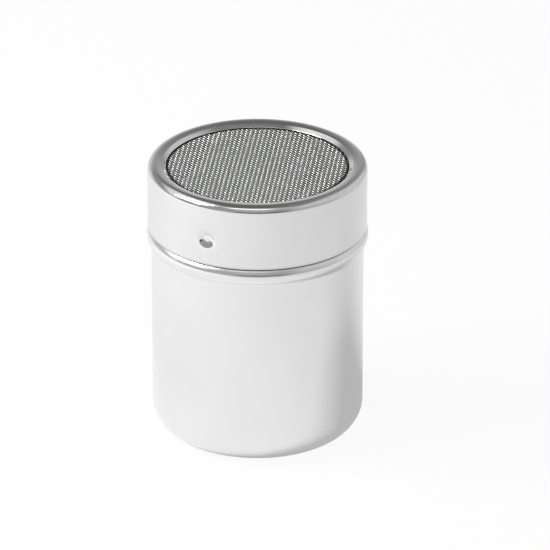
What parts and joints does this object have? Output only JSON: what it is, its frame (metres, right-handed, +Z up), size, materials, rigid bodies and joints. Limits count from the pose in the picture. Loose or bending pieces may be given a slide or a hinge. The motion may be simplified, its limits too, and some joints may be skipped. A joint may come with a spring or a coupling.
{
  "type": "spice shaker",
  "caption": "Round steel shaker: a deep-drawn cup with a bead, and a lift-off cap with a turned-in ring round a wire sieve.",
  "frame": {"origin": "middle of the cup's flat base, on the surface that it stands on", "axes": "+Z up along the axis of the cup and cap, -Y towards the picture's camera, +X to that camera's right"},
  "size_m": [0.0732, 0.0732, 0.095],
  "materials": {
    "cup_steel": "satin polished",
    "lid_steel": "polished",
    "sieve_wire": "drawn wire",
    "ring_steel": "plain pressed"
  },
  "bodies": {
    "cup": {"cup": "cup_steel"},
    "lid": {"lid_shell": "lid_steel", "sieve_mesh": "sieve_wire", "retaining_ring": "ring_steel"}
  },
  "joints": [
    {"name": "lid_lift", "type": "slide", "parent": "cup", "child": "lid", "axis": [0, 0, 1], "range_m": [0, 0.03]}
  ]
}
